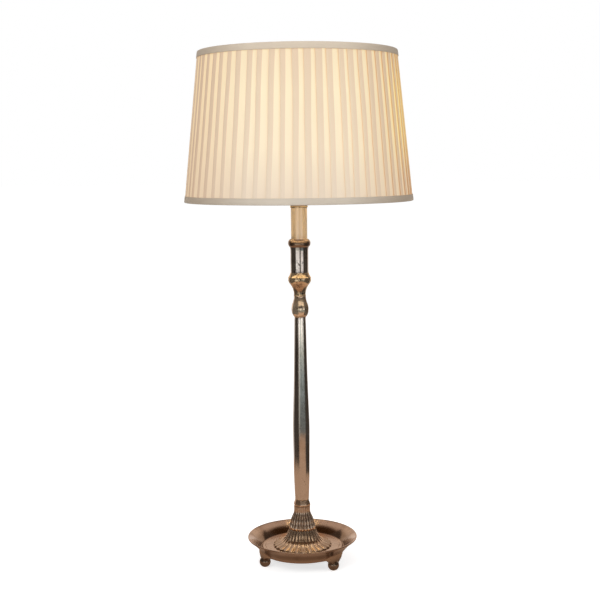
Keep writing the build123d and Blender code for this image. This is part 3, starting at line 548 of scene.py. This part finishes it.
def fold_outline(edge, inward, ring_radius):
    """Binding tape round one edge of the shade, as the CAD piece has it, with rounder folds."""
    outer = shade_radius(edge)
    outer_end = edge + inward * TAPE_OUTSIDE
    leg = shade_radius(outer_end)
    middle = edge + inward * TAPE_MIDDLE
    inner = ring_radius - RING_WIRE - GAP
    inner_end = edge + inward * TAPE_INSIDE
    return [
        (leg + 0.00012, outer_end),
        (leg + 0.00045, outer_end + inward * 0.0002),
        (leg + TAPE, outer_end - inward * 0.0004),
        (shade_radius(middle) + 0.00085, middle),
        (outer + TAPE, edge + inward * 0.0014),
        (outer + 0.0004, edge + inward * 0.0004),
        (outer - 0.0004, edge),
        (outer - 0.0025, edge),
        (inner + 0.0005, edge),
        (inner - 0.0003, edge + inward * 0.0002),
        (inner - 0.0007, edge + inward * 0.0008),
        (inner - 0.0007, inner_end),
        (inner - 0.0001, inner_end),
        (inner - 0.0001, edge + inward * TAPE),
        (outer - 0.0010, edge + inward * TAPE),
        (outer + 0.0001, edge + inward * 0.0010),
        (shade_radius(middle) + 0.0001, middle),
    ]


def tape_ripple(angle):
    """The tape shows the pleats that it covers."""
    return 0.00012 * sin(PLEATS * angle) + 0.0001 * sin(7 * angle + 1.0)


# ---------------------------------------------------------------- shade materials

HOT_ANGLE, HOT_HEIGHT = -0.20, 0.72  # where the cloth is brightest, round the shade in radians and up
LINER_HOT = 0.69  # height where the lining is brightest
WEAVE_ROUND, WEAVE_UP = 1900.0, 9000.0  # waves of 0.55 mm round the shade, and of 0.7 mm up it


def cloth_weave(m, strength=0.18):
    """Fine plain weave in the surface, by height and by angle round the shade."""
    across = m.math("SINE", m.math("MULTIPLY", m.angle(), WEAVE_ROUND))
    along = m.math("SINE", m.math("MULTIPLY", m.axis("Z"), WEAVE_UP))
    return m.bump(m.math("MULTIPLY", across, along), strength, 0.0001)


def pleat_material():
    """Ivory cloth lit from behind, the light painted on as a glow: one layer glows more than three, and most
    in one place. The glow lessens toward the lower edge and the sides, where shade is also painted on the
    colour."""
    m = Shader("ivory_pleats")
    single = m.node("Attribute", attribute_name="single").outputs["Fac"]
    z = m.axis("Z")
    height = m.spread(z, SHADE_BOTTOM, SHADE_TOP)
    side = m.math("DIVIDE", m.axis("X"), MIDDLE_RADIUS)
    edge = m.spread(m.math("ABSOLUTE", side), 0.45, 1.0)
    one_layer = m.ramp(
        height,
        [
            (0.05, (0.275, 0.215, 0.155)),
            (0.35, (0.42, 0.345, 0.215)),
            (0.7, (0.44, 0.37, 0.205)),
            (1.0, (0.38, 0.295, 0.14)),
        ],
    )
    three_layers = m.ramp(
        height,
        [
            (0.05, (0.215, 0.165, 0.12)),
            (0.35, (0.26, 0.19, 0.11)),
            (0.7, (0.25, 0.165, 0.08)),
            (1.0, (0.21, 0.11, 0.03)),
        ],
    )
    one_layer = m.mix(edge, one_layer, m.mix(height, (0.31, 0.225, 0.13), (0.45, 0.31, 0.115)))
    three_layers = m.mix(edge, three_layers, (0.15, 0.055, 0.01))
    glow = m.mix(single, three_layers, one_layer)
    # a painted hot spot of light, fixed on the cloth
    hot = m.math("MULTIPLY", m.near(m.angle(), HOT_ANGLE, 0.05, 0.55), m.near(z, HOT_HEIGHT, 0.03, 0.10))
    glow = m.mix(hot, glow, m.mix(single, (0.24, 0.15, 0.02), (0.66, 0.50, 0.10)))
    mottled = m.noise(14.0, detail=3.0, stretch=(1, 1, 0.3))
    glow = m.mix(m.math("MULTIPLY", mottled, 0.10), glow, (0.22, 0.14, 0.09))
    # painted light: the glow grows toward the right side
    glow = m.mix(m.spread(side, 0.1, 0.9), glow, (0.05, 0.05, 0.03), blend="ADD")
    return m.surface(
        {
            # painted shade: the cloth's colour is darker at the sides
            "Base Color": m.mix(edge, (0.70, 0.60, 0.48), (0.62, 0.49, 0.36)),
            "Roughness": 0.85,
            "Sheen Weight": 0.1,
            "Normal": cloth_weave(m),
            "Emission Color": glow,
            "Emission Strength": 1.0,
        }
    )


def liner_material():
    """Smooth white lining card, bright with the bulb's light."""
    m = Shader("lining_card")
    near = m.near(m.axis("Z"), LINER_HOT, 0.0, 0.12)
    return m.surface(
        {
            "Base Color": (0.86, 0.82, 0.72),
            "Roughness": 0.55,
            "Normal": m.bump(m.noise(500.0), 0.05, 0.0001),
            "Emission Color": m.mix(near, (0.52, 0.40, 0.25), (0.80, 0.62, 0.38)),
            "Emission Strength": 0.35,
        }
    )


def tape_material():
    """Taupe binding tape in plain weave, with painted light: lighter and warmer on the upper edge, painted
    shade toward the sides and a faint painted glow.
    """
    m = Shader("taupe_tape")
    colour = m.mix(m.noise(30.0, detail=4.0), (0.64, 0.555, 0.455), (0.75, 0.67, 0.565))
    # painted light: the upper tape lighter and warmer
    colour = m.mix(m.spread(m.axis("Z"), 0.65, 0.75), colour, (0.78, 0.665, 0.53))
    # painted shade toward the sides
    edge = m.spread(m.math("ABSOLUTE", m.axis("X")), 0.07, 0.160)
    return m.surface(
        {
            "Base Color": m.mix(edge, colour, (0.45, 0.36, 0.27)),
            "Roughness": 0.8,
            "Sheen Weight": 0.15,
            "Normal": cloth_weave(m, 0.3),
            # a faint painted glow of the bulb's light
            "Emission Color": (0.55, 0.42, 0.27),
            "Emission Strength": 0.06,
        }
    )


# ---------------------------------------------------------------- shade pieces

assign(liner_material(), "shade_liner")
cover = pleat_mesh(pleat_material())
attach(cover, "shade")
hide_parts("pleated_cover")

tape = tape_material()
for name, node, edge, inward in (
    ("bottom_tape", "bottom_trim", SHADE_BOTTOM, 1),
    ("top_tape", "top_trim", SHADE_TOP, -1),
):
    _, ring_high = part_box("shade_bottom_ring" if inward == 1 else "shade_top_ring")
    ring_radius = ring_high.x - RING_WIRE
    piece = lathe_loop(name, fold_outline(edge, inward, ring_radius), tape, tape_ripple)
    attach(piece, "shade")
    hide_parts(node)

# ---------------------------------------------------------------- stage: floor, sky and lamps

FLOOR_REACH = 30.0
FLOOR_GLOW = 0.70  # what the floor adds to its lit colour where it is seen, so that it is even white
SKY_LIGHT = 0.42  # strength of the sky for the light on the object; where the sky is seen it is 1


def seen(m):
    """1 where a ray from the camera, or by way of metal or glass, sees the surface, and 0 for light."""
    path = m.node("LightPath").outputs
    direct = m.math("MAXIMUM", path["Is Camera Ray"], path["Is Glossy Ray"])
    return m.math("MAXIMUM", direct, path["Is Transmission Ray"])


def floor_material():
    """White floor: even white to the camera and in reflections, with the object's shadow."""
    m = Shader("white_floor")
    return m.surface(
        {
            "Base Color": (0.80, 0.80, 0.80),
            "Roughness": 0.9,
            "Specular IOR Level": 0.0,
            "Emission Color": (1.0, 1.0, 1.0),
            "Emission Strength": m.math("MULTIPLY", seen(m), FLOOR_GLOW),
        }
    )


corners = [(FLOOR_REACH * x, FLOOR_REACH * y, 0) for x, y in ((-1, -1), (1, -1), (1, 1), (-1, 1))]
floor = mesh_object("floor", corners, [(0, 1, 2, 3)], floor_material())

sky = Shader("studio", "World")
sky_strength = sky.math("MULTIPLY_ADD", seen(sky), 1.0 - SKY_LIGHT, SKY_LIGHT)
bpy.context.scene.world = sky.finish("Background", {"Color": (1.0, 1.0, 1.0), "Strength": sky_strength})


def soft_light(name, place, look_at, size, power):
    """A rectangular lamp that no reflection shows."""
    data = bpy.data.lights.new(name, "AREA")
    data.shape = "RECTANGLE"
    data.size, data.size_y = size
    data.energy = power
    obj = bpy.data.objects.new(name, data)
    bpy.context.scene.collection.objects.link(obj)
    obj.location = place
    direction = Vector(look_at) - Vector(place)
    obj.rotation_mode = "QUATERNION"
    obj.rotation_quaternion = direction.to_track_quat("-Z", "Y")
    obj.visible_camera = False
    obj.visible_glossy = False


soft_light("key", (-1.6, -2.6, 2.3), (0, 0, 0.4), (1.4, 1.4), 42.0)
soft_light("fill", (2.4, -1.6, 1.6), (0, 0, 0.4), (1.2, 1.6), 18.0)

# ---------------------------------------------------------------- stage: what the metal mirrors

# The white room shows between dark flags that stand round the lamp and hang over it, and below them lies a
# brown table top. None of this is seen or lights anything directly. Angles are in degrees from +X.
ROOM_RADIUS = 3.2
ROOM_HEIGHT = 2.6
WINDOWS = [(-136, -88), (-73, -41)]  # low gaps between the flags
WINDOW_HEIGHT = 0.46
HIGH_WINDOW = (-122, -58)  # a second, high gap in front
HIGH_WINDOW_LOW, HIGH_WINDOW_HIGH = 1.75, 2.50
BACKDROP = (40, 140)  # a pale wall behind the lamp
FLAG_FOOT, CARD_HEIGHT = 0.002, 0.0015  # just over the floor
FLAG_STEP, RIM_STEP = 4, 5  # degrees
SOFT_TURN = 2  # degrees in which the floor's tones change
TABLE = (-0.54, -0.80, 0.47, 0.60)  # its edges: left, front, right, back
TABLE_SOFT = 0.01  # width of its edge
CEILING_LAMP = 1.45  # how far the lamp on the ceiling is behind the axis


def mirrored_only(obj):
    obj.visible_camera = False
    obj.visible_diffuse = False
    obj.visible_shadow = False
    obj.visible_transmission = False


def glow_only(m, colour):
    """A surface that shows a colour and takes no light."""
    return m.surface(
        {
            "Base Color": (0.0, 0.0, 0.0),
            "Specular IOR Level": 0.0,
            "Roughness": 1.0,
            "Emission Color": colour,
            "Emission Strength": 1.0,
        }
    )


def flag_material():
    """Dark brown cloth, a little lighter toward the ceiling."""
    m = Shader("flag_cloth")
    up = m.spread(m.axis("Z"), 0.0, ROOM_HEIGHT)
    return glow_only(m, m.mix(up, (0.060, 0.050, 0.042), (0.11, 0.085, 0.070)))


def wall_material():
    """Pale pinkish wall, darker toward the ceiling."""
    m = Shader("pale_wall")
    up = m.spread(m.axis("Z"), 0.3, 1.0)
    return glow_only(m, m.mix(up, (0.92, 0.83, 0.77), (0.66, 0.54, 0.44)))


def high_window_material():
    """Curtained window."""
    m = Shader("curtained_window")
    return glow_only(m, m.mix(m.noise(2.0, detail=2.0), (0.95, 0.86, 0.74), (0.75, 0.65, 0.54)))


def ceiling_material():
    """Ceiling: pale over the object and behind it, in shade in front and at the sides, with a warm lamp."""
    m = Shader("shaded_ceiling")
    x, y = m.axis("X"), m.axis("Y")
    shade_line = m.math("MULTIPLY_ADD", m.math("ABSOLUTE", x), -0.9, 1.25)
    pale = m.spread(m.math("ADD", y, shade_line), -0.1, 0.25)
    colour = m.mix(pale, (0.07, 0.035, 0.015), (0.56, 0.45, 0.38))
    away = m.hypotenuse(x, m.math("SUBTRACT", y, CEILING_LAMP))
    return glow_only(m, m.mix(m.spread(away, 0.35, 0.75, 1.0, 0.0), colour, (1.65, 1.05, 0.50)))


def card_material():
    """Brown table top, and round it the floor, which lightens toward the gaps between the flags."""
    m = Shader("table_card")
    x, y = m.axis("X"), m.axis("Y")
    left, front, right, back = TABLE
    table = m.spread(x, left, left + TABLE_SOFT)
    table = m.math("MULTIPLY", table, m.spread(x, right - TABLE_SOFT, right, 1.0, 0.0))
    table = m.math("MULTIPLY", table, m.spread(y, front, front + TABLE_SOFT))
    table = m.math("MULTIPLY", table, m.spread(y, back - TABLE_SOFT, back, 1.0, 0.0))
    angle = m.angle()
    radius = m.hypotenuse(x, y)
    reach = m.math("DIVIDE", radius, ROOM_RADIUS)
    left_floor = m.ramp(
        reach,
        [
            (0.25, (0.46, 0.46, 0.42)),
            (0.60, (0.66, 0.68, 0.64)),
            (0.95, (1.0, 1.0, 0.95)),
        ],
    )
    right_floor = m.ramp(
        reach,
        [
            (0.25, (0.15, 0.17, 0.17)),
            (0.52, (0.165, 0.185, 0.19)),
            (0.62, (0.25, 0.32, 0.35)),
            (0.78, (0.25, 0.33, 0.35)),
            (0.835, (0.38, 0.52, 0.42)),
            (0.865, (1.30, 1.32, 1.22)),
        ],
    )
    colour = (0.055, 0.046, 0.040)
    for (start, end), tone in zip((*WINDOWS, BACKDROP), (left_floor, right_floor, (0.55, 0.48, 0.43))):
        lit = m.spread(angle, radians(start - SOFT_TURN), radians(start))
        lit = m.math("MULTIPLY", lit, m.spread(angle, radians(end), radians(end + SOFT_TURN), 1.0, 0.0))
        colour = m.mix(lit, colour, tone)
    wood = m.mix(m.noise(3.0, detail=4.0, stretch=(1, 6, 1)), (0.55, 0.365, 0.25), (0.40, 0.255, 0.17))
    # painted shadow of the lamp: the table is darker near its foot
    shaded = m.spread(radius, 0.07, 0.22, 0.55, 1.0)
    return glow_only(m, m.mix(table, colour, m.mix(1.0, wood, shaded, blend="MULTIPLY")))


def flag(name, start, end, low, high, material):
    """An upright piece of the room's wall between two angles and two heights."""
    steps = max(2, int((end - start) / FLAG_STEP))
    vertices = []
    for step in range(steps + 1):
        angle = radians(start + (end - start) * step / steps)
        x, y = ROOM_RADIUS * cos(angle), ROOM_RADIUS * sin(angle)
        vertices += [(x, y, low), (x, y, high)]
    faces = [(2 * k, 2 * k + 2, 2 * k + 3, 2 * k + 1) for k in range(steps)]
    mirrored_only(mesh_object(name, vertices, faces, material))


def disc(name, height, material):
    """A level disc as wide as the room."""
    turns = [radians(degrees) for degrees in range(0, 360, RIM_STEP)]
    rim = [(ROOM_RADIUS * cos(turn), ROOM_RADIUS * sin(turn), height) for turn in turns]
    mirrored_only(mesh_object(name, rim, [tuple(range(len(rim)))], material))


flag_cloth = flag_material()
start, end = WINDOWS[0][0], WINDOWS[1][1]  # the first low gap's start and the last one's end
flag("flag_between_windows", WINDOWS[0][1], WINDOWS[1][0], FLAG_FOOT, WINDOW_HEIGHT, flag_cloth)
flag("flag_over_windows", start, end, WINDOW_HEIGHT, HIGH_WINDOW_LOW, flag_cloth)
flag("high_window", *HIGH_WINDOW, HIGH_WINDOW_LOW, HIGH_WINDOW_HIGH, high_window_material())
flag("flag_over_high_window", start, end, HIGH_WINDOW_HIGH, ROOM_HEIGHT, flag_cloth)
flag("flag_left_of_high_window", start, HIGH_WINDOW[0], HIGH_WINDOW_LOW, HIGH_WINDOW_HIGH, flag_cloth)
flag("flag_right_of_high_window", HIGH_WINDOW[1], end, HIGH_WINDOW_LOW, HIGH_WINDOW_HIGH, flag_cloth)
flag("flag_right", end, BACKDROP[0], FLAG_FOOT, ROOM_HEIGHT, flag_cloth)
flag("flag_left", BACKDROP[1], start + 360, FLAG_FOOT, ROOM_HEIGHT, flag_cloth)
flag("pale_backdrop", *BACKDROP, FLAG_FOOT, ROOM_HEIGHT, wall_material())
disc("ceiling", ROOM_HEIGHT, ceiling_material())
disc("table_card", CARD_HEIGHT, card_material())
